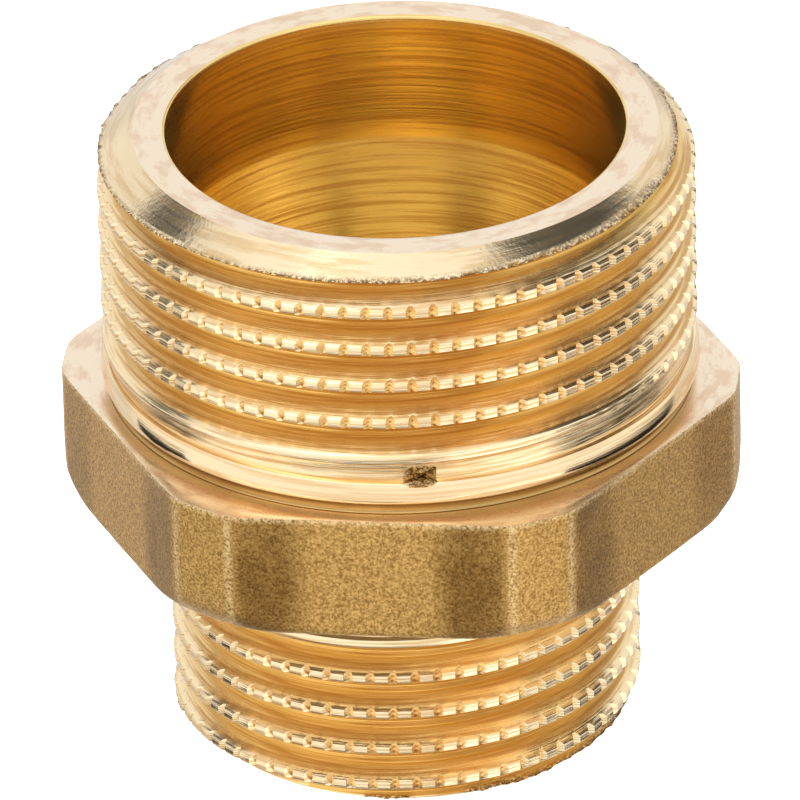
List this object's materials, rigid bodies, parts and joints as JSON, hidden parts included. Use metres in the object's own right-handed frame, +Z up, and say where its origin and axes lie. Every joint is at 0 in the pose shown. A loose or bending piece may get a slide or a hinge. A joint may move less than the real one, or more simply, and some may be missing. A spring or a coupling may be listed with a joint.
{
  "type": "hex nipple",
  "caption": "Reducing pipe nipple in brass: a bored-through body with a hexagon for the spanner, a larger male thread above it and a smaller male thread below.",
  "frame": {"origin": "centre of the small end's face", "axes": "+Z up the bore towards the large end, -Y out of a wide flat of the hexagon"},
  "size_m": [0.03, 0.0274, 0.0288],
  "materials": {
    "brass": "turned bright on the threads, shot-blasted on the hexagon"
  },
  "bodies": {
    "root": {"nipple_body": "brass"}
  },
  "joints": []
}
